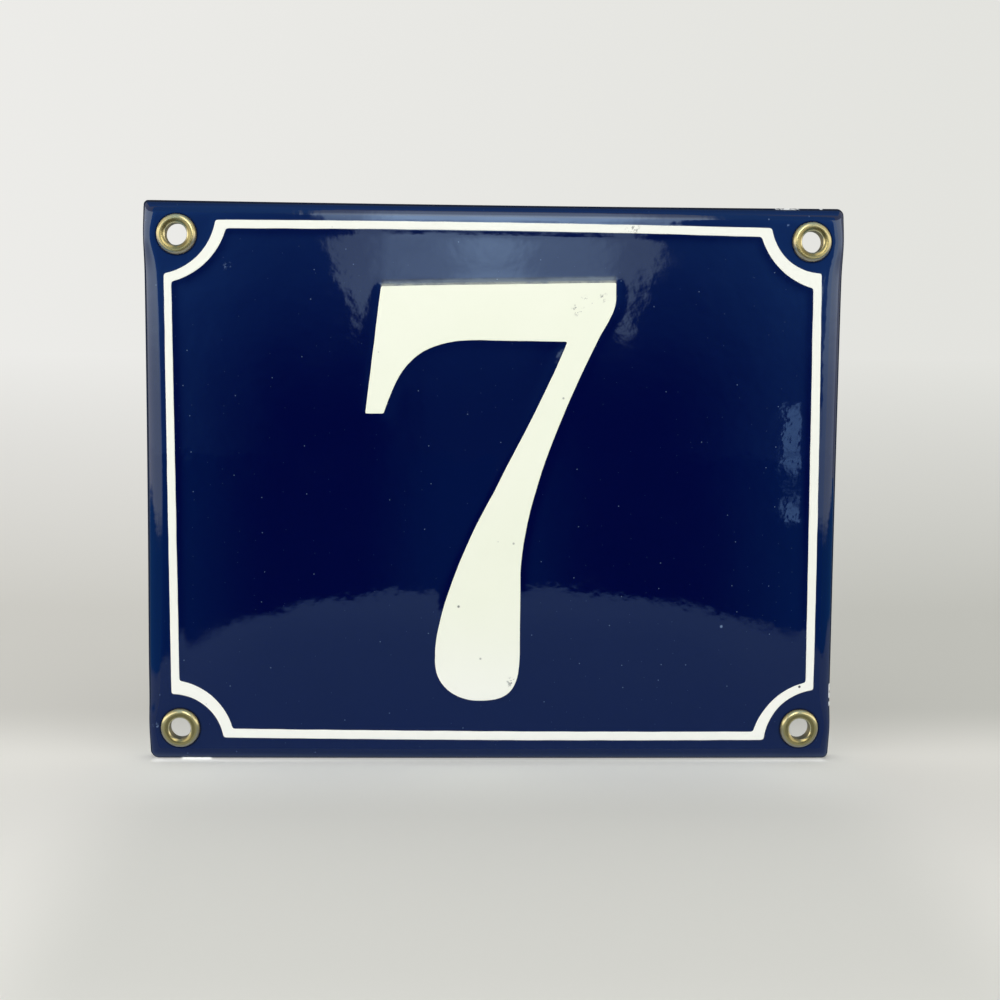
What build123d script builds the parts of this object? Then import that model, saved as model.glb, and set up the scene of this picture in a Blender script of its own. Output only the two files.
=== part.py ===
from build123d import *

import math
import os

# Enamel house number plaque, in millimetres.
# X runs to the viewer's right, Z runs up, and the face looks towards -Y.
# The origin is the centre of the plane that lies on the wall, y = 0.

# Pressed plate
plate_width = 149.6
plate_height = 120.4
rim_depth = 6.0
crown = 2.5
sheet = 1.5
inside_bend = 1.5
corner_radius = 1.2
corner_runout = 0.05

# Brass eyelets
bore_radius = 2.3
brass_wall = 0.3
head_curl = 0.98
back_curl = 0.8
hole_clearance = 0.1
set_clearance = 0.02
eyelet_margin = 0.1

# Raised white enamel
relief = 0.2
line_margin = 1.8
line_width = 1.9
scoop_offset = 3.6
scoop_gap = 2.25
scoop_line_width = 2.3
numeral_height = 90.4
numeral_drop = 1.35

# Sizes that follow from those above
outside_bend = inside_bend + sheet
depth = rim_depth + crown
half_diagonal = math.hypot(plate_width, plate_height) / 2
dome_radius = (half_diagonal**2 + crown**2) / (2 * crown)
dome_centre = (0, dome_radius - depth, 0)
blank_depth = 2 * depth
head_radius = bore_radius + 2 * head_curl
roll_radius = bore_radius + 2 * back_curl
eyelet_inset = outside_bend + max(head_radius, roll_radius) + eyelet_margin
eyelet_x = plate_width / 2 - eyelet_inset
eyelet_z = plate_height / 2 - eyelet_inset
eyelet_corners = {
    "top_left": (-1, 1),
    "top_right": (1, 1),
    "bottom_left": (-1, -1),
    "bottom_right": (1, -1),
}

# Outline of the seven, in hundredths of its height: across from its axis, up from its foot
bar_top = [(-27.0, 98.5), (28.2, 100.0)]
bar_end = [(28.2, 96.5), (28.2, 94.0), (27.2, 92.0)]
stem_right = [bar_end[-1], (17.2, 72.0), (6.4, 50.0), (6.4, 28.4)]
toe = [(6.4, 7.5), (-1.1, 0.0)]
heel = [(-3.9, 0.0), (-13.9, 10.0)]
stem_left = [heel[-1], (-13.9, 19.0), (-8.5, 33.8), (-2.6, 45.8)]
stem_top = [stem_left[-1], (16.9, 85.7)]
serif_curve = [(-4.0, 85.9), (-17.0, 85.9), (-23.2, 80.0), (-26.2, 68.6)]
serif_foot = [serif_curve[-1], (-30.6, 68.6)]


def ball(radius):
    """A sphere about the dome's centre."""
    return Pos(*dome_centre) * Sphere(radius)


def along_wall(flat):
    """A flat shape, drawn as the viewer sees it, carried forward from the wall through the face."""
    return extrude(Plane.XZ * flat, amount=blank_depth)


def pan(width, height, face_radius, bend):
    """A solid block with a domed face, a rolled front edge and close corners.

    The corner rounds stand a little outside the sides, so they run out to them at a slight angle.
    """
    block = along_wall(Rectangle(width, height)) & ball(face_radius)
    face = block.faces().sort_by(Axis.Y)[0]
    block = fillet(face.edges(), bend)
    rounded = RectangleRounded(width + 2 * corner_runout, height + 2 * corner_runout, corner_radius)
    return block & along_wall(rounded)


def on_face(x, z):
    """The frame of a point on the domed face, with its Z axis square to the face and outward."""
    up = math.sqrt(dome_radius**2 - x**2 - z**2)
    out = Vector(x, -up, z) / dome_radius
    return Plane(origin=Vector(*dome_centre) + out * dome_radius, z_dir=out).location


def eyelet_seats():
    """The name and frame of each eyelet's place on the face."""
    for name, (side, level) in eyelet_corners.items():
        yield name, on_face(side * eyelet_x, level * eyelet_z)


def make_plate():
    """The enamelled sheet: a shallow domed pan, open to the wall, with its eyelet holes."""
    outer = pan(plate_width, plate_height, dome_radius, outside_bend)
    inner = pan(plate_width - 2 * sheet, plate_height - 2 * sheet, dome_radius - sheet, inside_bend)
    plate = outer - inner
    hole = Cylinder(bore_radius + brass_wall + hole_clearance, blank_depth)
    for _, seat in eyelet_seats():
        plate -= seat * hole
    return plate


def make_eyelet():
    """One stamped eyelet about Z: its curled head sits on the face at z = 0, its roll holds the back."""
    back = -sheet - set_clearance
    head_middle = bore_radius + head_curl
    roll_middle = bore_radius + back_curl
    barrel_outside = bore_radius + brass_wall
    head_lip = head_radius - brass_wall
    roll_lip = roll_radius - brass_wall
    section = Wire(
        [
            Line((bore_radius, back), (bore_radius, 0)),
            ThreePointArc((bore_radius, 0), (head_middle, head_curl), (head_radius, 0)),
            Line((head_radius, 0), (head_lip, 0)),
            ThreePointArc((head_lip, 0), (head_middle, head_curl - brass_wall), (barrel_outside, 0)),
            Line((barrel_outside, 0), (barrel_outside, back)),
            ThreePointArc(
                (barrel_outside, back), (roll_middle, back - back_curl + brass_wall), (roll_lip, back)
            ),
            Line((roll_lip, back), (roll_radius, back)),
            ThreePointArc((roll_radius, back), (roll_middle, back - back_curl), (bore_radius, back)),
        ]
    )
    return revolve(Plane.XZ * make_face(section), Axis.Z)


def raised(flat):
    """White enamel of even thickness that covers a flat shape's place on the domed face."""
    shell = ball(dome_radius + relief) - ball(dome_radius)
    return along_wall(flat) & shell


def scooped(half_x, half_z, radius):
    """A rectangle whose corners are scooped out round the eyelets."""
    shape = Rectangle(2 * half_x, 2 * half_z)
    for side, level in eyelet_corners.values():
        centre = Pos(side * (eyelet_x + scoop_offset), level * (eyelet_z + scoop_offset))
        shape -= centre * Circle(radius)
    return shape


def make_border():
    """The white line round the face."""
    line_inset = outside_bend + line_margin
    half_x = plate_width / 2 - line_inset
    half_z = plate_height / 2 - line_inset
    scoop_radius = math.hypot(scoop_offset, scoop_offset) + head_radius + scoop_gap
    outer = scooped(half_x, half_z, scoop_radius)
    inner = scooped(half_x - line_width, half_z - line_width, scoop_radius + scoop_line_width)
    return raised(outer - inner)


def make_numeral():
    """The white seven: a bar with a serif, and a stem that swells to a round foot."""
    unit = numeral_height / 100
    base = -numeral_height / 2 - numeral_drop

    def at(*points):
        return [(across * unit, up * unit + base) for across, up in points]

    outline = [
        Line(*at(*bar_top)),
        Line(*at(bar_top[-1], bar_end[0])),
        Bezier(*at(*bar_end)),
        Bezier(*at(*stem_right)),
        Line(*at(stem_right[-1], toe[0])),
        TangentArc(*at(*toe), tangent=(0, -1)),
        Line(*at(toe[-1], heel[0])),
        TangentArc(*at(*heel), tangent=(-1, 0)),
        Bezier(*at(*stem_left)),
        Line(*at(*stem_top)),
        Line(*at(stem_top[-1], serif_curve[0])),
        Bezier(*at(*serif_curve)),
        Line(*at(*serif_foot)),
        Line(*at(serif_foot[-1], bar_top[0])),
    ]
    return raised(make_face(outline))


os.makedirs("parts", exist_ok=True)
export_step(make_plate(), "parts/plate.step")
export_step(make_border(), "parts/white_border.step")
export_step(make_numeral(), "parts/white_numeral.step")
for name, seat in eyelet_seats():
    export_step(seat * make_eyelet(), f"parts/eyelet_{name}.step")
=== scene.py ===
import math

import bpy
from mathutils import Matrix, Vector, geometry, kdtree, noise


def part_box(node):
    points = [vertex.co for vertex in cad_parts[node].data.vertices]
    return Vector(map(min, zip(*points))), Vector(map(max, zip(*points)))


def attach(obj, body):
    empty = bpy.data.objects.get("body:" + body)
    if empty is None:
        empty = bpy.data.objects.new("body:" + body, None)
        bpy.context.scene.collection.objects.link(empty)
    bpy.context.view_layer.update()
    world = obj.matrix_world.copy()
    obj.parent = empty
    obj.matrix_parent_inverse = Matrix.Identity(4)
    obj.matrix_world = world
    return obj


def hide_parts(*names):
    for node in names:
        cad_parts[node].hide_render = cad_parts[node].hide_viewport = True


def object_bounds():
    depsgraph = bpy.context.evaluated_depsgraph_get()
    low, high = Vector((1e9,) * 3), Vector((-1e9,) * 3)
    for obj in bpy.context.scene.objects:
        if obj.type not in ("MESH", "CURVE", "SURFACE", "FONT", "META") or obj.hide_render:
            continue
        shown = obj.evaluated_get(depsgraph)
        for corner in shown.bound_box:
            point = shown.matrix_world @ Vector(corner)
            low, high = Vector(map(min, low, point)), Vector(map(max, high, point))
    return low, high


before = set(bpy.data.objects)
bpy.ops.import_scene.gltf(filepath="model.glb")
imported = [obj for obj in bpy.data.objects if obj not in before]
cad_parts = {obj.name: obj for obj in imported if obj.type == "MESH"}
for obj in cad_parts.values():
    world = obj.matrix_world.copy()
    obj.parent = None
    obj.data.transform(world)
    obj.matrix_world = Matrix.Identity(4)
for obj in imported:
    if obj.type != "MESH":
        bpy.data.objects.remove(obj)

# Enamel house number plaque.
# Sizes are in millimetres. X runs to the viewer's right, Z up, and the face looks towards -Y.
MM = 0.001
cad_low, cad_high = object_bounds()
plate_low, plate_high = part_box("plate")

# Pressed plate
half_x = plate_high.x / MM
half_z = plate_high.z / MM
depth = -plate_low.y / MM
crown = 2.5
sheet = 1.5
inside_bend = 1.5
outside_bend = inside_bend + sheet
rim_round = 0.4
side_hollow = 0.24
level_hollow = 0.33
hollow_reach = 8
foot_draw = {-1: 0.4, 1: 0.15}
foot_reach = 14
mitre_softness = 1.5
bend_tightening = 1.3
bend_spread = 4.6
bend_easing = {-1: 0.9, 1: 0.5}
easing_reach = 50
corner_radii = {(-1, 1): 0.8, (1, 1): 1.3, (-1, -1): 1.8, (1, -1): 1.1}
least_corner = 0.3
half_diagonal = math.hypot(half_x, half_z)
dome_radius = (half_diagonal**2 + crown**2) / (2 * crown)
dome_centre = Vector((0, dome_radius - depth, 0))
grid_step = 0.75
bend_steps = 12

# Brass eyelets
bore_radius = 2.3
brass_wall = 0.3
head_curl = 0.98
back_curl = 0.8
hole_clearance = 0.1
set_clearance = 0.02
eyelet_margin = 0.1
lip_round = 0.22
lip_level = 0.62
lip_turn = 127
flange_swell = (2.87, 0.94)
flange_shoulder = (4.15, 1.2)
press_depth = 0.03
press_waves = 1.3
eyelet_turns = 96
head_radius = bore_radius + 2 * head_curl
hole_radius = bore_radius + brass_wall + hole_clearance
flange_step = 0.06
eyelet_inset = outside_bend + head_radius + eyelet_margin
eyelet_x = half_x - eyelet_inset
eyelet_z = half_z - eyelet_inset
eyelets = {
    "eyelet_top_left": (-1, 1),
    "eyelet_top_right": (1, 1),
    "eyelet_bottom_left": (-1, -1),
    "eyelet_bottom_right": (1, -1),
}

# Raised white enamel
relief = 0.19
sunk = 0.03
edge_profile = [(0.0, 0.0), (0.02, 0.45), (0.07, 0.72), (0.15, 0.9), (0.28, 1.0), (0.36, 1.0)]
outline_step = 0.35
fill_step = 2.0
weld = 1e-4
fill_inside = 1
longest_way = 2.0
wobble = 0.05
wobble_per_mm = 0.23
seven_seed = 7.5
outside_seed = 3.1
inside_seed = 5.7

# The blue glass rises a little where it meets the white, less beside the line than beside the seven
rise_height = 0.12
inside_rise = 0.09
outside_rise = 0.025
rise_reach = 0.7

# The white line: for each side, its outer and inner edge near one end, in the middle and near the other end
line_ends_x = 53.2
line_ends_z = 43.6
side_lines = {
    "top": ((55.97, 56.03, 55.72), (54.16, 54.28, 53.80)),
    "bottom": ((-54.92, -55.21, -55.37), (-52.92, -53.22, -53.46)),
    "left": ((-69.28, -69.66, -70.12), (-67.49, -67.93, -68.53)),
    "right": ((70.33, 70.08, 69.71), (68.55, 68.14, 67.92)),
}
# The scooped corners: centre and radius of the outer and of the inner edge
scoops = {
    (-1, 1): ((-72.6, 57.9, 13.5), (-72.5, 58.5, 16.1)),
    (1, 1): ((69.7, 57.3, 11.1), (71.8, 58.5, 16.0)),
    (1, -1): ((71.6, -56.2, 12.0), (72.2, -57.7, 15.6)),
    (-1, -1): ((-69.1, -56.5, 11.1), (-69.7, -56.3, 14.0)),
}
scoop_points = 44
level_points = 300
upright_points = 240
scoop_rounds = 8

# Outline of the seven, clockwise from the bar's top left: each list is a line or a curve's four points
seven_outline = [
    [(-24.4, 42.44), (25.5, 43.72)],
    [(25.5, 43.72), (25.5, 41.0)],
    [(25.5, 41.0), (25.7, 37.9), (24.1, 35.8), (22.2, 32.4)],
    [(22.2, 32.4), (15.6, 18.7), (6.5, -1.4), (5.8, -18.5)],
    [(5.8, -18.5), (5.8, -36.0)],
    [(5.8, -36.0), (5.7, -43.1), (4.6, -46.6), (-3.0, -46.5)],
    [(-3.0, -46.5), (-8.8, -46.4), (-13.0, -42.6), (-12.5, -36.7)],
    [(-12.5, -36.7), (-12.8, -29.3), (-7.2, -13.5), (-0.2, -1.2)],
    [(-0.2, -1.2), (4.9, 9.4), (10.4, 19.1), (15.15, 31.05)],
    [(15.15, 31.05), (-1.0, 31.2)],
    [(-1.0, 31.2), (-17.7, 31.9), (-20.4, 25.1), (-23.7, 15.5)],
    [(-23.7, 15.5), (-27.65, 15.5)],
    [(-27.65, 15.5), (-24.4, 42.44)],
]


def on_dome(x, z, lift=0.0):
    """The point of the domed face at x, z, lifted square to it, in metres."""
    radius = dome_radius + lift
    direction = Vector((x, -math.sqrt(dome_radius**2 - x**2 - z**2), z)) / dome_radius
    return (dome_centre + direction * radius) * MM


def make_object(name, points, faces, materials):
    """A smooth mesh object from points in metres, with the materials that its faces count off."""
    mesh = bpy.data.meshes.new(name)
    mesh.from_pydata(points, [], faces)
    mesh.polygons.foreach_set("use_smooth", [True] * len(mesh.polygons))
    for material in materials:
        mesh.materials.append(material)
    mesh.validate()
    made = bpy.data.objects.new(name, mesh)
    bpy.context.scene.collection.objects.link(made)
    return made


def stands_for(piece, node):
    """The piece takes the place of a CAD node, on the part's one body."""
    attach(piece, "root")
    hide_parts(node)


# Plate


def grid_lines(half):
    """The plate's grid lines along one axis: the place on the flat and the angle turned round the bend."""
    flat = half - outside_bend
    count = round(2 * flat / grid_step)
    turns = [math.pi / 2 * k / bend_steps for k in range(1, bend_steps + 1)]
    low = [(-flat, -turn) for turn in reversed(turns)]
    middle = [(-flat + 2 * flat * i / count, 0.0) for i in range(count + 1)]
    high = [(flat, turn) for turn in turns]
    return low + middle + high


def round_corner(x, z, limit_x, limit_z, inset):
    """Pulls a point of a square corner in, so that the corner is round."""
    side = math.copysign(1, x)
    level = math.copysign(1, z)
    radius = max(corner_radii[(side, level)] - inset, least_corner)
    over_x = (abs(x) - (limit_x - radius)) / radius
    over_z = (abs(z) - (limit_z - radius)) / radius
    if over_x <= 0 or over_z <= 0:
        return x, z
    new_x = over_x * math.sqrt(1 - over_z**2 / 2)
    new_z = over_z * math.sqrt(1 - over_x**2 / 2)
    return side * (limit_x - radius + new_x * radius), level * (limit_z - radius + new_z * radius)


def hollowed(x, z):
    """Draws in the middle of each side a little, as pressed sheet is, and the foot of the upright sides."""
    draw = side_hollow * (1 - (z / half_z) ** 2)
    draw += foot_draw[math.copysign(1, x)] * math.exp(-(((z + half_z) / foot_reach) ** 2))
    draw_x = draw * (abs(x) / half_x) ** hollow_reach
    draw_z = level_hollow * (1 - (x / half_x) ** 2) * (abs(z) / half_z) ** hollow_reach
    return x - math.copysign(draw_x, x), z - math.copysign(draw_z, z)


def sheet_point(line_x, line_z, inset):
    """A point of the sheet's outer skin, or of its inner skin at an inset of the sheet's thickness.

    The upright sides are bent more tightly beside the eyelets, and more gently at mid-height.
    """
    (flat_x, turn_x), (flat_z, turn_z) = line_x, line_z
    bend_z = outside_bend - inset
    z = flat_z + bend_z * math.sin(turn_z)
    tighter = bend_tightening * math.exp(-(((abs(z) - eyelet_z) / bend_spread) ** 2))
    tighter -= bend_easing[math.copysign(1, flat_x)] * max(1 - (z / easing_reach) ** 2, 0)
    bend_x = bend_z - tighter
    x = flat_x * (1 + tighter / (half_x - outside_bend)) + bend_x * math.sin(turn_x)
    radius = dome_radius - inset
    y = dome_centre.y - math.sqrt(radius**2 - x**2 - z**2)
    drop_x = bend_x * (1 - math.cos(turn_x))
    drop_z = bend_z * (1 - math.cos(turn_z))
    y += (drop_x**mitre_softness + drop_z**mitre_softness) ** (1 / mitre_softness)
    x, z = round_corner(x, z, half_x - inset, half_z - inset, inset)
    x, z = hollowed(x, z)
    return Vector((x, y, z))


def nearest_eyelet(x, z):
    """The centre of the eyelet nearest to a place on the face."""
    return math.copysign(eyelet_x, x), math.copysign(eyelet_z, z)


def make_plate(white_edges, materials):
    """The domed pan, with its rolled edge, rounded rim and eyelet holes, as one closed skin."""
    lines_x = grid_lines(half_x)
    lines_z = grid_lines(half_z)
    count_x, count_z = len(lines_x), len(lines_z)
    points = []
    faces = []
    looks = []

    def skin(inset):
        start = len(points)
        for line_z in lines_z:
            for line_x in lines_x:
                points.append(sheet_point(line_x, line_z, inset))
        return lambda i, j: start + j * count_x + i

    def face(look, *corners):
        faces.append(corners)
        looks.append(look)

    front = skin(0.0)
    edge_tree = kdtree.KDTree(len(white_edges))
    for k, (spot, _, _) in enumerate(white_edges):
        edge_tree.insert((spot.x, 0, spot.y), k)
    edge_tree.balance()
    for point in points:
        _, k, away = edge_tree.find((point.x, 0, point.z))
        spot, way, rise = white_edges[k]
        covered = (Vector((point.x, point.z)) - spot).dot(way) > 0
        point.y -= rise * (1.0 if covered else math.exp(-away / rise_reach))
    back = skin(sheet)

    def in_hole(i, j):
        middle = (points[front(i, j)] + points[front(i + 1, j + 1)]) / 2
        centre_x, centre_z = nearest_eyelet(middle.x, middle.z)
        return math.hypot(middle.x - centre_x, middle.z - centre_z) < hole_radius

    def snap(index):
        point = points[index]
        centre_x, centre_z = nearest_eyelet(point.x, point.z)
        out = Vector((point.x - centre_x, 0, point.z - centre_z))
        out *= hole_radius / out.length
        points[index] = Vector((centre_x + out.x, point.y, centre_z + out.z))

    holes = {(i, j) for j in range(count_z - 1) for i in range(count_x - 1) if in_hole(i, j)}
    hole_edge = set()
    for j in range(count_z - 1):
        for i in range(count_x - 1):
            ring = [(i, j), (i + 1, j), (i + 1, j + 1), (i, j + 1)]
            if (i, j) not in holes:
                face(0, *[front(*c) for c in ring])
                face(1, *[back(*c) for c in reversed(ring)])
                continue
            beside = [(i, j - 1), (i + 1, j), (i, j + 1), (i - 1, j)]
            for k, neighbour in enumerate(beside):
                if neighbour not in holes:
                    a, b = ring[k], ring[(k + 1) % 4]
                    face(1, front(*a), front(*b), back(*b), back(*a))
                    hole_edge.update((a, b))
    for place in hole_edge:
        snap(front(*place))
        snap(back(*place))

    around = [(i, 0) for i in range(count_x - 1)]
    around += [(count_x - 1, j) for j in range(count_z - 1)]
    around += [(i, count_z - 1) for i in range(count_x - 1, 0, -1)]
    around += [(0, j) for j in range(count_z - 1, 0, -1)]
    inner = [back(*c) for c in around]
    ring = [front(*c) for c in around]
    share = rim_round / sheet
    small = 1 - math.sqrt(0.5)
    # Round the rim: share of the way through the sheet, share of the rim's round (None for halfway up
    # the side), and the material of the strip that ends there
    rim = [
        (0.0, None, 0),
        (0.0, 0.0, 0),
        (small * share, 1 - small, 0),
        (share, 1.0, 1),
        (1 - share, 1.0, 1),
        (1 - small * share, 1 - small, 1),
        (1.0, 0.0, 1),
        (1.0, None, 1),
    ]
    outer_points = [points[k] for k in ring]
    inner_points = [points[k] for k in inner]
    for across, level, look in rim:
        start = len(points)
        for outer_point, inner_point in zip(outer_points, inner_points):
            point = outer_point.lerp(inner_point, across)
            point.y = (point.y - rim_round) / 2 if level is None else rim_round * (level - 1)
            points.append(point)
        new_ring = list(range(start, start + len(around)))
        for k in range(len(around)):
            n = (k + 1) % len(around)
            face(look, ring[n], ring[k], new_ring[k], new_ring[n])
        ring = new_ring
    for k in range(len(around)):
        n = (k + 1) % len(around)
        face(1, ring[n], ring[k], inner[k], inner[n])

    used = sorted({k for f in faces for k in f})
    renumber = {old: new for new, old in enumerate(used)}
    faces = [tuple(renumber[k] for k in f) for f in faces]
    plate = make_object("enamel_plate", [points[k] * MM for k in used], faces, materials)
    plate.data.polygons.foreach_set("material_index", looks)
    stands_for(plate, "plate")


# White enamel


def curve_points(controls, step):
    """Points along a line or a cubic curve, without its last one."""
    length = sum(math.dist(a, b) for a, b in zip(controls, controls[1:]))
    count = max(2, round(length / step))
    spots = []
    for k in range(count):
        t = k / count
        row = [Vector(c) for c in controls]
        while len(row) > 1:
            row = [a.lerp(b, t) for a, b in zip(row, row[1:])]
        spots.append(row[0])
    return spots


def neighbours(loop):
    """Each point of a closed outline, between the ones before and after it."""
    return zip(loop[-1:] + loop[:-1], loop, loop[1:] + loop[:1])


def softened(loop, times):
    """A closed outline with its sharp corners eased."""
    for _ in range(times):
        loop = [(before + 2 * here + after) / 4 for before, here, after in neighbours(loop)]
    return loop


def inward(loop):
    """At each point of a clockwise outline, the way into the shape, longer at a corner."""
    ways = []
    for before, here, after in neighbours(loop):
        first = (here - before).normalized()
        second = (after - here).normalized()
        way = Vector((first.y + second.y, -first.x - second.x)).normalized()
        square = Vector((first.y, -first.x))
        ways.append(way / max(way.dot(square), 1 / longest_way))
    return ways


def edged(loop, side, rise):
    """Each point of an outline, with the way into the white and how far the blue rises to it."""
    return [(spot, way * side, rise) for spot, way in zip(loop, inward(loop))]


def wavered(loop, seed):
    """An outline that wavers slightly, as one brushed off round a stencil."""
    ways = inward(loop)
    moved = []
    for spot, way in zip(loop, ways):
        shift = noise.noise(Vector((spot.x * wobble_per_mm, spot.y * wobble_per_mm, seed)))
        moved.append(spot + way.normalized() * shift * wobble)
    return moved


def seven_loop():
    """The numeral's edge."""
    loop = [spot for controls in seven_outline for spot in curve_points(controls, outline_step)]
    return wavered(softened(loop, 1), seven_seed)


def make_seven(loop, material):
    """The raised numeral: rings round its edge, a filled top and a filled underside."""
    ways = inward(loop)
    points = [on_dome(spot.x, spot.y, -sunk) for spot in loop]
    faces = []
    count = len(loop)
    for inset, height in edge_profile:
        start = len(points)
        for spot, way in zip(loop, ways):
            place = spot + way * inset
            points.append(on_dome(place.x, place.y, height * relief))
        for k in range(count):
            n = (k + 1) % count
            faces.append((start - count + n, start - count + k, start + k, start + n))
    last = len(points) - count
    edge = [spot + way * edge_profile[-1][0] for spot, way in zip(loop, ways)]
    spots = list(edge)
    low = Vector((min(s.x for s in edge), min(s.y for s in edge)))
    high = Vector((max(s.x for s in edge), max(s.y for s in edge)))
    columns = int((high.x - low.x) / fill_step)
    rows = int((high.y - low.y) / fill_step)
    for row in range(1, rows + 1):
        for column in range(1, columns + 1):
            spot = low + Vector((column, row)) * fill_step
            if min((spot - e).length for e in edge) > fill_step / 2:
                spots.append(spot)
    rim = [list(range(count))]
    found, _, triangles, origins, _, _ = geometry.delaunay_2d_cdt(spots, [], rim, fill_inside, weld)
    index = {}
    for k, spot in enumerate(found):
        if origins[k] and origins[k][0] < count:
            index[k] = last + origins[k][0]
        else:
            index[k] = len(points)
            points.append(on_dome(spot.x, spot.y, relief))
    faces += [tuple(index[k] for k in triangle) for triangle in triangles]
    _, _, triangles, origins, _, _ = geometry.delaunay_2d_cdt(loop, [], rim, fill_inside, weld)
    faces += [tuple(origins[k][0] for k in reversed(triangle)) for triangle in triangles]
    seven = make_object("white_seven", points, faces, [material])
    stands_for(seven, "white_numeral")


def bowed(ends, reach, at):
    """The place of a side's edge, on the curve through its two ends and its middle."""
    first, middle, last = ends
    t = at / reach
    return middle + (last - first) / 2 * t + ((first + last) / 2 - middle) * t * t


def border_edge(which):
    """The white line's outer or inner edge, clockwise from the top left, as eight runs of points."""

    def side_x(side, z):
        return bowed(side_lines["right" if side > 0 else "left"][which], line_ends_z, z)

    def side_z(level, x):
        return bowed(side_lines["top" if level > 0 else "bottom"][which], line_ends_x, x)

    def scoop_ends(corner):
        """The angles at which a scoop meets the upright side and the level side."""
        side, level = corner
        x, z, radius = scoops[corner][which]
        upright = z - level * radius
        across = x - side * radius
        for _ in range(scoop_rounds):
            over = side_x(side, upright) - x
            upright = z - level * math.sqrt(radius**2 - over**2)
            over = side_z(level, across) - z
            across = x - side * math.sqrt(radius**2 - over**2)
        first = math.atan2(upright - z, side_x(side, upright) - x)
        second = math.atan2(side_z(level, across) - z, across - x)
        return first, second

    def scoop(corner, from_upright):
        x, z, radius = scoops[corner][which]
        first, second = scoop_ends(corner)
        if not from_upright:
            first, second = second, first
        turn = (second - first + math.pi) % (2 * math.pi) - math.pi
        return [
            Vector((x + radius * math.cos(first + turn * t), z + radius * math.sin(first + turn * t)))
            for t in (k / scoop_points for k in range(scoop_points))
        ]

    def end(corner, upright):
        x, z, radius = scoops[corner][which]
        angle = scoop_ends(corner)[0 if upright else 1]
        return Vector((x + radius * math.cos(angle), z + radius * math.sin(angle)))

    def level_run(level, start, finish, count):
        xs = [start.x + (finish.x - start.x) * k / count for k in range(count)]
        return [Vector((x, side_z(level, x))) for x in xs]

    def upright_run(side, start, finish, count):
        zs = [start.y + (finish.y - start.y) * k / count for k in range(count)]
        return [Vector((side_x(side, z), z)) for z in zs]

    top_left, top_right, bottom_right, bottom_left = (-1, 1), (1, 1), (1, -1), (-1, -1)
    return (
        scoop(top_left, True)
        + level_run(1, end(top_left, False), end(top_right, False), level_points)
        + scoop(top_right, False)
        + upright_run(1, end(top_right, True), end(bottom_right, True), upright_points)
        + scoop(bottom_right, True)
        + level_run(-1, end(bottom_right, False), end(bottom_left, False), level_points)
        + scoop(bottom_left, False)
        + upright_run(-1, end(bottom_left, True), end(top_left, True), upright_points)
    )


def make_border(outer, inner, material):
    """The raised white line: one closed strip with rounded edges."""
    section = [(0.0, inset, height) for inset, height in edge_profile]
    section += [(1.0, -inset, height) for inset, height in reversed(edge_profile)]
    section = [(0.0, 0.0, None)] + section + [(1.0, 0.0, None)]
    points = []
    for out_spot, in_spot in zip(outer, inner):
        across = (in_spot - out_spot).normalized()
        for side, inset, height in section:
            spot = out_spot.lerp(in_spot, side) + across * inset
            points.append(on_dome(spot.x, spot.y, -sunk if height is None else height * relief))
    width = len(section)
    count = len(outer)
    faces = []
    for k in range(count):
        n = (k + 1) % count
        for s in range(width):
            t = (s + 1) % width
            faces.append((n * width + s, k * width + s, k * width + t, n * width + t))
    border = make_object("white_line", points, faces, [material])
    stands_for(border, "white_border")


# Eyelets


def eyelet_section():
    """The curled brass sheet's section as a closed outline of radius and height over the face.

    The bore opens at a tight lip, from which the flange swells and turns down to the face.
    """
    back = -sheet - set_clearance

    def arc(centre, height, radius, first, last, count):
        steps = [math.radians(first + (last - first) * k / count) for k in range(count + 1)]
        return [(centre + radius * math.cos(a), height + radius * math.sin(a)) for a in steps]

    head_middle = bore_radius + head_curl
    roll_middle = bore_radius + back_curl
    lip_foot = lip_level - lip_round
    barrel_steps, lip_steps, curl_steps, roll_steps = 6, 8, 12, 18
    barrel = [(bore_radius, back + (lip_foot - back) * k / barrel_steps) for k in range(1, barrel_steps)]
    lip = arc(bore_radius + lip_round, lip_foot, lip_round, 180, lip_turn, lip_steps)
    flange = [lip[-1], flange_swell, flange_shoulder, (head_radius, 0)]
    return (
        barrel
        + lip[:-1]
        + [tuple(spot) for spot in curve_points(flange, flange_step)]
        + flange[-1:]
        + arc(head_middle, 0, head_curl - brass_wall, 0, 180, curl_steps)
        + arc(roll_middle, back, back_curl - brass_wall, 180, 360, curl_steps)
        + arc(roll_middle, back, back_curl, 360, 180, roll_steps)
    )


def make_eyelet(name, side, level, material):
    """One eyelet, set square to the dome, with the slight unevenness of a hand press."""
    section = eyelet_section()
    x, z = side * eyelet_x, level * eyelet_z
    seat = on_dome(x, z)
    out = (seat / MM - dome_centre).normalized()
    across = Vector((1, 0, 0)) - out * out.x
    across.normalize()
    up = across.cross(out)
    points = []
    for k in range(eyelet_turns):
        angle = 2 * math.pi * k / eyelet_turns
        way = across * math.cos(angle) + up * math.sin(angle)
        spot = Vector((math.cos(angle), math.sin(angle), side + 3 * level))
        press = press_depth * noise.noise(spot * press_waves)
        for radius, height in section:
            curl = max(radius - bore_radius, 0) / head_curl
            points.append(seat + (way * (radius + press * curl / 2) + out * height) * MM)
    width = len(section)
    faces = []
    for k in range(eyelet_turns):
        n = (k + 1) % eyelet_turns
        for s in range(width):
            t = (s + 1) % width
            faces.append((k * width + s, n * width + s, n * width + t, k * width + t))
    eyelet = make_object("brass_" + name, points, faces, [material])
    stands_for(eyelet, name)


# Materials


def colour(red, green, blue):
    return (red, green, blue, 1.0)


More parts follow.
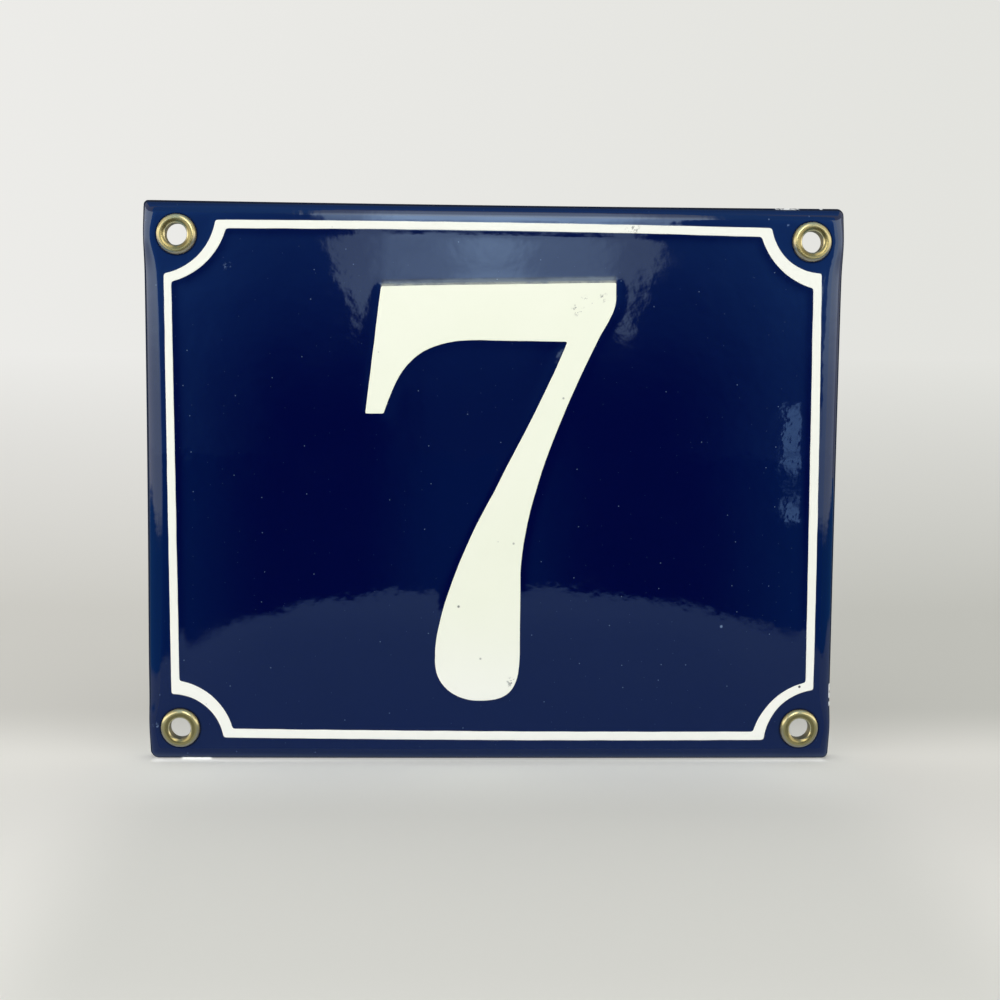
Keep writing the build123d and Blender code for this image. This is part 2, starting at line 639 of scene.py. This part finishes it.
class Nodes:
    """A node tree whose nodes are added by short calls, each of which gives its output socket."""

    def __init__(self, tree):
        self.tree = tree

    def node(self, kind, **settings):
        made = self.tree.nodes.new(kind)
        for key, value in settings.items():
            setattr(made, key, value)
        return made

    def feed(self, socket, value):
        if isinstance(value, bpy.types.NodeSocket):
            self.tree.links.new(value, socket)
        else:
            socket.default_value = value

    def split(self, vector):
        made = self.node("ShaderNodeSeparateXYZ")
        self.feed(made.inputs[0], vector)
        return made.outputs

    def math(self, operation, first, *others):
        """One operation on a value, or on a value and each of the others in turn."""
        for other in others or (0.0,):
            made = self.node("ShaderNodeMath", operation=operation)
            self.feed(made.inputs[0], first)
            self.feed(made.inputs[1], other)
            first = made.outputs[0]
        return first

    def plus(self, *values):
        return self.math("ADD", *values)

    def less(self, first, second):
        return self.math("SUBTRACT", first, second)

    def times(self, *values):
        return self.math("MULTIPLY", *values)

    def ratio(self, first, second):
        return self.math("DIVIDE", first, second)

    def most(self, *values):
        return self.math("MAXIMUM", *values)

    def size(self, value):
        return self.math("ABSOLUTE", value)

    def length(self, across, along):
        return self.math("SQRT", self.plus(self.times(across, across), self.times(along, along)))

    def step(self, value, low, high, kind="SMOOTHSTEP"):
        """From 0 at low to 1 at high, eased; low may be the larger."""
        made = self.node("ShaderNodeMapRange", interpolation_type=kind)
        self.feed(made.inputs["Value"], value)
        if low < high:
            ends = (low, high, 0.0, 1.0)
        else:
            ends = (high, low, 1.0, 0.0)
        for name, end in zip(("From Min", "From Max", "To Min", "To Max"), ends):
            self.feed(made.inputs[name], end)
        return made.outputs["Result"]

    def band(self, value, low, high, soft):
        """1 from low to high, and 0 beyond a soft edge on each side."""
        return self.times(self.step(value, low - soft, low), self.step(value, high + soft, high))

    def mix(self, factor, first, second):
        made = self.node("ShaderNodeMix", data_type="RGBA")
        self.feed(made.inputs[0], factor)
        self.feed(made.inputs[6], first)
        self.feed(made.inputs[7], second)
        return made.outputs[2]


class Paint(Nodes):
    """A material that knows its place on the plaque, in millimetres."""

    def __init__(self, name):
        self.material = bpy.data.materials.new(name)
        self.material.use_nodes = True
        super().__init__(self.material.node_tree)
        self.surface = self.tree.nodes["Principled BSDF"]
        scaled = self.node("ShaderNodeVectorMath", operation="SCALE")
        self.feed(scaled.inputs[0], self.node("ShaderNodeTexCoord").outputs["Object"])
        self.feed(scaled.inputs["Scale"], 1 / MM)
        self.place = scaled.outputs[0]
        self.x, self.y, self.z = self.split(self.place)

    def set(self, **inputs):
        for name, value in inputs.items():
            self.feed(self.surface.inputs[name.replace("_", " ")], value)

    def noise(self, per_mm, detail=2.0, roughness=0.5):
        made = self.node("ShaderNodeTexNoise")
        self.feed(made.inputs["Vector"], self.place)
        self.feed(made.inputs["Scale"], per_mm)
        self.feed(made.inputs["Detail"], detail)
        self.feed(made.inputs["Roughness"], roughness)
        return made.outputs["Fac"]

    def near(self, x, z, radius, soft):
        """1 within a radius of a place on the face."""
        away = self.length(self.less(self.x, x), self.less(self.z, z))
        return self.step(away, radius + soft, radius)

    def from_eyelet(self):
        """The distance from the nearest eyelet's axis."""
        across = self.less(self.size(self.x), eyelet_x)
        along = self.less(self.size(self.z), eyelet_z)
        return self.length(across, along)

    def marks(self, specks, pitted):
        """Specks and finely pitted patches, each as x, z, radius, soft edge and strength."""
        pits = self.step(self.noise(per_mm=1.3, detail=4.0, roughness=0.7), 0.54, 0.6)
        shown = [self.times(self.near(*place), strength) for *place, strength in specks]
        shown += [self.times(self.near(*place), pits, strength) for *place, strength in pitted]
        return self.most(*shown)

    def dots(self, per_mm, radius, share):
        """Small round specks, in some of the cells of a scatter."""
        flat = self.node("ShaderNodeCombineXYZ")
        self.feed(flat.inputs[0], self.x)
        self.feed(flat.inputs[1], self.z)
        made = self.node("ShaderNodeTexVoronoi", voronoi_dimensions="2D")
        self.feed(made.inputs["Vector"], flat.outputs[0])
        self.feed(made.inputs["Scale"], per_mm)
        chance = self.split(made.outputs["Color"])[0]
        size = radius * per_mm
        spot = self.step(made.outputs["Distance"], size, size / 3)
        return self.times(spot, self.math("LESS_THAN", chance, share))

    def facing(self):
        """How far the surface faces the front or the back, from 0 to 1."""
        return self.size(self.split(self.node("ShaderNodeNewGeometry").outputs["Normal"])[1])

    def bump(self, height, micrometres, under=None):
        """A relief whose height runs from 0 to 1 over that many micrometres."""
        made = self.node("ShaderNodeBump")
        self.feed(made.inputs["Strength"], 1.0)
        self.feed(made.inputs["Distance"], micrometres * MM * MM)
        self.feed(made.inputs["Height"], height)
        if under:
            self.feed(made.inputs["Normal"], under)
        return made.outputs["Normal"]


# Specks and pitted patches: x, z, radius, soft edge and strength
face_specks = [(49.6, -30.1, 0.15, 0.25, 1.0), (58.0, 57.5, 0.05, 0.15, 1.0)]
face_pits = [(62.0, 56.4, 0.1, 0.5, 0.8), (-72.8, -52.5, 0.3, 0.8, 0.8), (-56.7, 46.2, 0.3, 1.0, 0.5)]
line_specks = [(67.2, -43.5, 0.2, 0.15, 1.0)]
line_pits = [(28.8, 54.9, 0.5, 1.6, 0.6)]
seven_specks = [
    (-7.5, -25.8, 0.1, 0.3, 0.8),
    (4.2, -12.1, 0.1, 0.25, 0.5),
    (-2.7, -37.2, 0.1, 0.25, 0.5),
    (14.5, 19.1, 0.1, 0.25, 0.5),
]
seven_pits = [
    (17.5, 38.0, 0.6, 1.2, 0.65),
    (18.7, 40.5, 0.1, 0.8, 0.65),
    (22.8, 40.5, 0.3, 1.0, 0.65),
    (21.5, 42.2, 0.1, 0.5, 0.65),
    (4.0, -42.4, 0.3, 1.2, 0.65),
]

# Chips on the level and the upright edges: where each starts and is full, going outwards, its two ends
# and their soft edge, and the two levels of raggedness between which it breaks up
level_chips = [
    (59.6, 59.8, 60.0, 64.6, 0.4, (0.46, 0.5)),
    (59.8, 59.95, 69.5, 69.9, 0.2, None),
    (-59.7, -59.85, -67.3, -61.3, 0.4, (0.36, 0.4)),
]
upright_chips = [
    (74.05, 74.2, -46.2, -43.4, 0.3, (0.4, 0.45)),
    (74.1, 74.25, -48.0, -47.3, 0.2, None),
]

# The pale band painted on the blue over the seven's bar, a painted reflection of the white seven
(bar_left, bar_left_z), (bar_right, bar_right_z) = seven_outline[0]
bar_slope = (bar_right_z - bar_left_z) / (bar_right - bar_left)
bar_level = bar_left_z - bar_left * bar_slope
pale_reflection_ends = (-24.0, 25.2)


def edge_chips(paint, ragged):
    """Where the enamel is chipped off the front of the plate's edge."""
    shown = []
    for chips, out, along in ((level_chips, paint.z, paint.x), (upright_chips, paint.x, paint.z)):
        for start, full, first, last, soft, broken in chips:
            chip = paint.times(paint.step(out, start, full), paint.band(along, first, last, soft))
            shown.append(paint.times(chip, paint.step(ragged, *broken)) if broken else chip)
    front = paint.step(paint.plus(paint.y, paint.times(ragged, 2.4)), -1.5, -1.8)
    return paint.times(paint.most(*shown), front)


def blue_enamel():
    """Deep cobalt glass over the sheet: glossy and faintly rippled, with pinholes.

    It carries a pale painted reflection of the white seven over the seven's bar and painted shade round the
    eyelets, and is darker, duller and chipped at the edge.
    """
    deep, clear = colour(0.0003, 0.0018, 0.040), colour(0.0005, 0.0026, 0.047)
    speck, pale_reflection = colour(0.14, 0.20, 0.34), colour(0.55, 0.58, 0.50)
    eyelet_shade_colour, darker_edge_colour = colour(0.001, 0.002, 0.012), colour(0.012, 0.018, 0.040)
    bare = colour(0.93, 0.94, 0.92)
    face_tint, bend_tint = colour(0.46, 0.68, 1.0), colour(0.64, 0.81, 1.0)
    pale_reflection_tint = colour(0.46, 0.58, 0.62)
    paint = Paint("blue_enamel")
    body = paint.mix(paint.noise(per_mm=0.03, detail=3.0), deep, clear)
    specks = paint.most(
        paint.times(paint.dots(per_mm=0.12, radius=0.15, share=0.4), 0.8),
        paint.times(paint.dots(per_mm=0.31, radius=0.11, share=0.25), 0.25),
        paint.marks(face_specks, face_pits),
    )
    body = paint.mix(specks, body, speck)
    # Painted reflection of the white seven: a pale, patchy band on the blue just over the seven's bar,
    # where the glass also reflects less and with a plainer tint.
    over_bar = paint.less(paint.z, paint.plus(bar_level, paint.times(paint.x, bar_slope)))
    over = paint.times(paint.band(over_bar, -0.5, 1.1, 0.5), paint.band(paint.x, *pale_reflection_ends, 0.5))
    patchy = paint.step(paint.noise(per_mm=0.4, detail=3.0), 0.2, 0.6)
    haze = paint.times(over, paint.step(over_bar, 0.7, 0.1), patchy, 0.7)
    body = paint.mix(paint.times(haze, 0.75), body, pale_reflection)
    # Painted shade: a dark ring on the blue round each eyelet, which also reflects less there.
    round_eyelets = paint.step(paint.from_eyelet(), head_radius + 0.45, head_radius + 0.05)
    eyelet_shade = paint.times(round_eyelets, 0.75)
    body = paint.mix(eyelet_shade, body, eyelet_shade_colour)
    chips = edge_chips(paint, paint.noise(per_mm=1.1, detail=3.0, roughness=0.6))
    edge = paint.facing()
    # A darker, duller band where the edge turns away from the front.
    darker_edge = paint.times(paint.band(edge, 0.1, 0.55, 0.1), paint.less(1.0, chips))
    dulled = paint.times(paint.step(edge, 0.85, 0.6), 0.35)
    body = paint.mix(darker_edge, body, darker_edge_colour)
    body = paint.mix(chips, body, bare)
    tint = paint.mix(paint.step(edge, 0.9994, 0.985), face_tint, bend_tint)
    smears = paint.step(paint.noise(per_mm=0.12, detail=4.0, roughness=0.65), 0.45, 0.8)
    rough = paint.times(paint.most(chips, darker_edge), 0.5)
    waves = paint.bump(paint.noise(per_mm=0.06, detail=1.0), micrometres=60.0)
    ripple = paint.bump(paint.noise(per_mm=0.2), micrometres=22.0, under=waves)
    paint.set(
        Base_Color=body,
        Roughness=paint.plus(0.03, paint.times(smears, 0.05), rough),
        IOR=1.62,
        Specular_IOR_Level=paint.less(0.5, paint.times(paint.most(darker_edge, eyelet_shade, dulled, haze), 0.5)),
        Specular_Tint=paint.mix(over, tint, pale_reflection_tint),
        Normal=paint.bump(paint.noise(per_mm=0.5), micrometres=7.0, under=ripple),
    )
    return paint.material


def white_enamel(name, low, high, specks, pitted):
    """Pale glass as fired over the blue, paler towards its foot, with a few grey marks."""
    foot_white = colour(0.97, 0.98, 0.94)
    mark_grey, dot_grey = colour(0.05, 0.06, 0.08), colour(0.25, 0.27, 0.30)
    paint = Paint(name)
    cloud = paint.noise(per_mm=0.08, detail=3.0)
    body = paint.mix(cloud, low, high)
    body = paint.mix(paint.times(paint.step(paint.z, -20.0, -55.0), 0.9), body, foot_white)
    body = paint.mix(paint.marks(specks, pitted), body, mark_grey)
    dots = paint.dots(per_mm=0.11, radius=0.16, share=0.3)
    body = paint.mix(paint.times(dots, 0.5), body, dot_grey)
    paint.set(
        Base_Color=body,
        Roughness=paint.plus(0.08, paint.times(paint.step(cloud, 0.4, 0.8), 0.08)),
        Specular_IOR_Level=0.07,
        Normal=paint.bump(paint.noise(per_mm=0.5, roughness=0.4), micrometres=6.0),
    )
    return paint.material


def brass():
    """Stamped brass with fine marks: brown round the mouth, partly tarnish and partly painted shade, and a
    painted highlight at its lip.

    Outside, the head has a painted highlight over its top and a painted reflection of the pale floor below,
    and the lower side of the mouth has painted shade.
    """
    dark, light = colour(0.30, 0.24, 0.085), colour(0.40, 0.325, 0.125)
    floor_reflection_colour, pale = colour(0.38, 0.34, 0.27), colour(0.66, 0.57, 0.30)
    brown, bright = colour(0.13, 0.10, 0.03), colour(0.80, 0.70, 0.40)
    inner, shade = colour(0.22, 0.18, 0.10), colour(0.13, 0.105, 0.05)
    paint = Paint("brass")
    cloud = paint.noise(per_mm=0.5, detail=3.0)
    body = paint.mix(cloud, dark, light)
    radius = paint.from_eyelet()
    up = paint.times(paint.less(paint.size(paint.z), eyelet_z), paint.math("SIGN", paint.z))
    # Painted reflection of the pale floor: greyer over the lower outside of the head.
    dulled = paint.times(paint.step(radius, 3.4, 4.0), paint.step(up, 1.5, -2.0), 0.75)
    body = paint.mix(dulled, body, floor_reflection_colour)
    # Painted highlight: paler over the top of the head's outside.
    top_highlight = paint.times(paint.step(radius, 3.2, 3.7), paint.step(up, -1.0, 2.5), 0.6)
    body = paint.mix(top_highlight, body, pale)
    # Brown round the mouth: tarnish in the groove, and painted shade that narrows the lip's bright
    # reflection.
    tarnish_and_shade = paint.times(paint.band(radius, 2.64, 3.15, 0.12), 0.55)
    body = paint.mix(tarnish_and_shade, body, brown)
    # Painted highlight: a bright ring at the lip.
    lip = paint.times(paint.band(radius, 2.43, 2.53, 0.06), 0.65)
    body = paint.mix(lip, body, bright)
    barrel = paint.step(radius, 2.42, 2.34)
    body = paint.mix(paint.times(barrel, 0.7), body, inner)
    mouth_foot = paint.times(paint.step(radius, 2.66, 2.6), paint.step(up, -0.8, -1.8), 0.75)
    body = paint.mix(mouth_foot, body, shade)
    paint.set(
        Base_Color=body,
        Metallic=0.7,
        Roughness=paint.plus(0.15, paint.times(cloud, 0.1), paint.times(barrel, 0.4)),
        Normal=paint.bump(paint.noise(per_mm=2.0, detail=3.0), micrometres=5.0),
    )
    return paint.material


def ground_coat():
    """The plain dark enamel of the back and the rim's edge."""
    dark, light = colour(0.004, 0.006, 0.014), colour(0.010, 0.013, 0.026)
    speck = colour(0.10, 0.11, 0.13)
    paint = Paint("ground_coat")
    cloud = paint.noise(per_mm=0.05, detail=4.0, roughness=0.6)
    body = paint.mix(cloud, dark, light)
    specks = paint.times(paint.dots(per_mm=0.5, radius=0.2, share=0.35), 0.5)
    paint.set(
        Base_Color=paint.mix(specks, body, speck),
        Roughness=paint.plus(0.16, paint.times(paint.step(cloud, 0.4, 0.8), 0.18)),
        IOR=1.55,
        Normal=paint.bump(paint.noise(per_mm=0.4, detail=3.0), micrometres=14.0),
    )
    return paint.material


# Stage and light, in metres, with the lights' own patterns in millimetres
floor_level = cad_low.z - 0.00002
table_level = cad_low.z + 0.0003
sheet_level = cad_low.z + 0.0006
room_height = 2.4
front_wall = -1.2
white = colour(1.0, 1.0, 1.0)
pale_left = colour(0.845, 0.84, 0.815)
pale_right = colour(0.77, 0.77, 0.735)
lit_level = 0.92


def glow(name, tint, light_of):
    """A material that only shines: a function of the paint gives its strength and how far it covers."""
    paint = Paint(name)
    strength, cover = light_of(paint)
    shine = paint.node("ShaderNodeEmission")
    paint.feed(shine.inputs["Color"], tint)
    paint.feed(shine.inputs["Strength"], strength)
    clear = paint.node("ShaderNodeBsdfTransparent")
    blend = paint.node("ShaderNodeMixShader")
    paint.feed(blend.inputs[0], cover)
    paint.feed(blend.inputs[1], clear.outputs[0])
    paint.feed(blend.inputs[2], shine.outputs[0])
    paint.feed(paint.tree.nodes["Material Output"].inputs["Surface"], blend.outputs[0])
    return paint.material


def card(name, points, material, faces=((0, 1, 2, 3),), lights=False):
    """A studio card that shows only in reflections, or that also lights the plaque."""
    made = make_object(name, points, faces, [material])
    made.visible_camera = False
    made.visible_shadow = lights
    made.visible_diffuse = lights


def upright(left, right, foot, head):
    """The corners of an upright card from its left and right ends, each x and y, and its two levels."""
    return [(*left, foot), (*right, foot), (*right, head), (*left, head)]


def laid(side, front, rear, height):
    """The corners of a card laid level that reaches as far to each side."""
    return [(-side, front, height), (side, front, height), (side, rear, height), (-side, rear, height)]


def make_floor():
    """A wide pale floor that fades into the background far behind the plaque, with painted shade and
    painted light in its colour and a faint painted glow.
    """
    reach = 60.0
    fade_start = 550.0
    eye_distance = 350.0
    own_glow, edge_glow = 0.052, 0.42
    paint = Paint("pale_floor")
    # Painted light: the floor is paler on the left than on the right.
    sideways = paint.step(paint.x, -160.0, 160.0)
    front = paint.mix(sideways, colour(0.84, 0.83, 0.80), colour(0.79, 0.78, 0.75))
    # Painted light: paler towards the front on each side.
    nearest = paint.mix(sideways, colour(0.97, 0.96, 0.93), colour(0.89, 0.88, 0.85))
    front = paint.mix(paint.step(paint.y, -20.0, -160.0), front, nearest)
    # Painted shadow in front of the plaque's middle.
    beside = paint.step(paint.size(paint.x), 90.0, 60.0)
    middle = paint.times(beside, paint.step(paint.y, -200.0, -120.0))
    front = paint.mix(middle, front, colour(0.74, 0.74, 0.71))
    # Painted light just in front of the plaque's foot.
    foot = paint.times(middle, paint.step(paint.y, -50.0, -2.0))
    front = paint.mix(foot, front, colour(0.97, 0.98, 0.95))
    # Painted shade behind the plaque.
    rear = paint.mix(sideways, colour(0.675, 0.665, 0.635), colour(0.595, 0.595, 0.565))
    near = paint.mix(paint.step(paint.y, -5.0, 50.0), front, rear)
    distance = paint.most(paint.plus(paint.y, eye_distance), fade_start)
    away = paint.less(1.0, paint.ratio(fade_start, distance))
    slope = paint.ratio(paint.x, paint.most(paint.y, 200.0))
    # Painted light: the floor glows faintly, more along a strip at the plaque's foot, and fully far away,
    # where it becomes the background.
    under = paint.times(paint.band(paint.y, -5.0, -2.0, 3.0), paint.band(paint.x, -72.5, 72.5, 2.0))
    shine = paint.plus(own_glow, paint.times(under, edge_glow), paint.times(away, 1 - own_glow))
    paint.set(
        Base_Color=paint.mix(away, near, colour(0.0, 0.0, 0.0)),
        Roughness=0.6,
        Specular_IOR_Level=0.0,
        Emission_Color=paint.mix(paint.step(slope, -0.3, 0.3), pale_left, pale_right),
        Emission_Strength=shine,
    )
    corners = laid(reach, -reach, reach, floor_level)
    make_object("floor", corners, [(0, 1, 2, 3)], [paint.material])


def make_table():
    """The dark table round the pale sheet, which only the glossy face shows."""
    sheet_middle, sheet_front, sheet_length = 8.0, -128.0, 110.0
    sheet_half, sheet_flare = 97.0, 75.0
    roundness = 1.6
    least_cover = 0.45

    def light(paint):
        flare = paint.plus(sheet_flare, paint.times(paint.step(paint.x, -50.0, 50.0), sheet_flare))
        half = paint.plus(sheet_half, paint.times(paint.step(paint.y, -130.0, 0.0), flare))
        aside = paint.size(paint.ratio(paint.less(paint.x, sheet_middle), half))
        ahead = paint.ratio(paint.most(paint.less(sheet_front, paint.y), 0.0), sheet_length)
        outline = paint.plus(*[paint.math("POWER", share, roundness) for share in (aside, ahead)])
        dark = paint.step(outline, 0.9, 1.1)
        narrowed = paint.plus(1.0, paint.times(paint.y, -0.004))
        fan = paint.ratio(paint.plus(paint.x, paint.times(paint.y, 0.035)), narrowed)
        left = paint.times(paint.step(fan, -45.0, -90.0), 0.6)
        right = paint.times(paint.step(fan, 40.0, 80.0), 0.5)
        middle = paint.times(paint.step(paint.size(paint.plus(fan, 4.0)), 26.0, 6.0), 0.22)
        pale = paint.times(paint.less(1.0, dark), 0.6)
        strength = paint.most(paint.plus(middle, left, right), pale)
        return strength, paint.plus(paint.times(dark, 1 - least_cover), least_cover)

    table = glow("dark_table", colour(0.10, 0.47, 1.0), light)
    card("dark_table", laid(0.9, front_wall, 0.3, table_level), table)


def make_room():
    """The dim room in front and overhead, and a pale strip low on the right."""

    def wall_light(paint):
        low = paint.times(paint.step(paint.z, -20.0, 330.0), 0.7)
        high = paint.times(paint.step(paint.z, 330.0, 1000.0), 0.3)
        left = paint.times(paint.step(paint.x, -200.0, -520.0), 0.9)
        right = paint.times(paint.step(paint.x, 240.0, 620.0), 0.9)
        off_middle = paint.size(paint.less(paint.x, 20.0))
        middle = paint.times(paint.step(off_middle, 150.0, 30.0), paint.step(paint.z, 140.0, 40.0), 0.2)
        beside = paint.times(paint.plus(left, right), paint.step(paint.z, 900.0, 300.0))
        return paint.plus(low, high, middle, beside), 1.0

    def ceiling_light(paint):
        ahead = paint.times(paint.step(paint.y, 300.0, -1000.0), 0.3)
        over = paint.times(paint.step(paint.y, 2500.0, 0.0), 0.35)
        return paint.plus(0.35, ahead, over), 1.0

    def strip_light(paint):
        streaks = paint.step(paint.noise(per_mm=0.08, detail=3.0), 0.3, 0.55)
        return 2.2, streaks

    wall_end = 0.62
    wall_corners = upright((-wall_end, front_wall), (wall_end, front_wall), floor_level, room_height)
    card("room_front", wall_corners, glow("room_front", colour(0.21, 0.54, 1.05), wall_light))
    ceiling = glow("ceiling", colour(0.24, 0.55, 1.05), ceiling_light)
    card("ceiling", laid(2.0, front_wall, 15.0, room_height), ceiling)
    strip = glow("pale_strip", colour(0.55, 0.75, 1.0), strip_light)
    card("pale_strip", upright((0.180, -0.41), (0.1865, -0.41), -0.054, 0.013), strip)


def make_window():
    """A tall soft light in front, above the eye, that the top of the face and its bend show."""

    def light(paint):
        upper = paint.step(paint.z, 200.0, 420.0)
        far = paint.step(paint.z, 400.0, 1400.0)
        wider = paint.times(paint.step(paint.z, 80.0, 215.0), 40.0)
        half = paint.plus(146.0, wider, paint.times(upper, 37.0), paint.times(far, 64.0))
        middle = paint.plus(33.0, paint.times(upper, 19.0), paint.times(far, 19.0))
        aside = paint.size(paint.less(paint.x, middle))
        share = paint.ratio(aside, half)
        sides = paint.step(share, 1.05, 0.95)
        dimmer = paint.less(1.0, paint.times(paint.step(share, 0.55, 0.85), 0.42))
        cloud = paint.plus(dimmer, paint.times(paint.near(26.0, 185.0, 8.0, 56.0), 0.65))
        lower = paint.times(paint.step(aside, 112.0, 128.0), 24.0)
        foot = paint.step(paint.plus(paint.z, lower), 96.0, 114.0)
        bright = paint.times(paint.step(paint.z, 190.0, 260.0), paint.step(paint.z, 900.0, 300.0))
        fade = paint.step(paint.z, 2200.0, 1200.0)
        strength = paint.plus(0.8, paint.times(bright, 3.8), paint.times(fade, 1.6))
        haze = paint.plus(0.7, paint.times(paint.noise(per_mm=0.012, detail=3.0), 0.6))
        return paint.times(strength, haze, cloud), paint.times(sides, foot)

    plane = -1.0
    card("window", upright((-0.25, plane), (0.40, plane), 0.05, 2.2), glow("window", white, light))


def make_side_light(name, side, last, strength):
    """A tall soft light in front of one side, as far round as an angle, and the floor it brightens.

    The bends show both. The lights of the two sides throw the two shadows.
    """
    distance = 1.3
    head = 0.5
    steps = 8
    first = 22
    inner_share = 0.2
    edge = side * half_x

    def tall_light(paint):
        mirrored = paint.node("ShaderNodeLightPath").outputs["Is Glossy Ray"]
        change = paint.less(0.1, paint.times(paint.step(paint.z, 150.0, -20.0), 0.44))
        return paint.times(paint.plus(1.0, paint.times(mirrored, change)), strength), 1.0

    def sheet_light(paint):
        away = paint.length(paint.less(paint.x, edge), paint.y)
        uneven = paint.times(paint.noise(per_mm=0.02, detail=3.0), 160.0)
        nearer = paint.times(paint.step(paint.y, -300.0, 0.0), 220.0)
        return 0.6 * strength, paint.step(paint.less(paint.plus(away, uneven), nearer), 450.0, 620.0)

    turns = [math.radians(first + (last - first) * k / steps) for k in range(steps + 1)]
    ends = [(side * distance * math.sin(turn), -distance * math.cos(turn)) for turn in turns]
    inner_ends = [(edge * MM + inner_share * (x - edge * MM), inner_share * y) for x, y in ends]
    faces = [(2 * k, 2 * k + 2, 2 * k + 3, 2 * k + 1) for k in range(steps)]
    wall = [(*end, height) for end in ends for height in (floor_level, head)]
    card(name, wall, glow(name, white, tall_light), faces, lights=True)
    ground = [(*end, sheet_level) for pair in zip(ends, inner_ends) for end in pair]
    card(name + "_sheet", ground, glow(name + "_sheet", white, sheet_light), faces)


def make_world():
    """Even pale light from all round, a little paler on the left."""
    world = bpy.data.worlds.new("studio")
    bpy.context.scene.world = world
    world.use_nodes = True
    nodes = Nodes(world.node_tree)
    background = nodes.tree.nodes["Background"].inputs
    across = nodes.split(nodes.node("ShaderNodeTexCoord").outputs["Generated"])[0]
    sideways = nodes.step(across, -0.3, 0.3, kind="LINEAR")
    nodes.feed(background["Color"], nodes.mix(sideways, pale_left, pale_right))
    rays = nodes.node("ShaderNodeLightPath").outputs
    seen = nodes.most(rays["Is Camera Ray"], rays["Is Glossy Ray"], rays["Is Transmission Ray"])
    nodes.feed(background["Strength"], nodes.plus(lit_level, nodes.times(seen, 1 - lit_level)))


def make_camera():
    """The photograph's viewpoint: close, a little above the middle and to the left."""
    eye = (-11.788, -349.143, 28.312)
    turn = (84.797, -0.5575, -2.1316)
    lens = bpy.data.cameras.new("camera")
    lens.lens = 57.6
    lens.sensor_width = 36.0
    lens.clip_start = 0.01
    lens.clip_end = 200.0
    camera = bpy.data.objects.new("camera", lens)
    camera.location = Vector(eye) * MM
    camera.rotation_euler = [math.radians(angle) for angle in turn]
    bpy.context.scene.collection.objects.link(camera)
    bpy.context.scene.camera = camera


seven_colours = colour(0.88, 0.92, 0.78), colour(0.92, 0.95, 0.83)
line_colours = colour(0.89, 0.91, 0.85), colour(0.92, 0.94, 0.88)
blue = blue_enamel()
seven_white = white_enamel("white_seven", *seven_colours, seven_specks, seven_pits)
line_white = white_enamel("white_line", *line_colours, line_specks, line_pits)
metal = brass()
seven_edge = seven_loop()
line_outside = wavered(softened(border_edge(0), 2), outside_seed)
line_inside = wavered(softened(border_edge(1), 2), inside_seed)
white_edges = edged(seven_edge, 1, rise_height)
white_edges += edged(line_outside, 1, outside_rise) + edged(line_inside, -1, inside_rise)
make_plate(white_edges, [blue, ground_coat()])
make_seven(seven_edge, seven_white)
make_border(line_outside, line_inside, line_white)
for eyelet_name, (eyelet_side, eyelet_level) in eyelets.items():
    make_eyelet(eyelet_name, eyelet_side, eyelet_level, metal)
make_floor()
make_table()
make_room()
make_window()
make_side_light("left_light", -1, 115, 2.48)
make_side_light("right_light", 1, 95, 2.2)
make_world()
make_camera()
bpy.context.scene.view_settings.view_transform = "Standard"
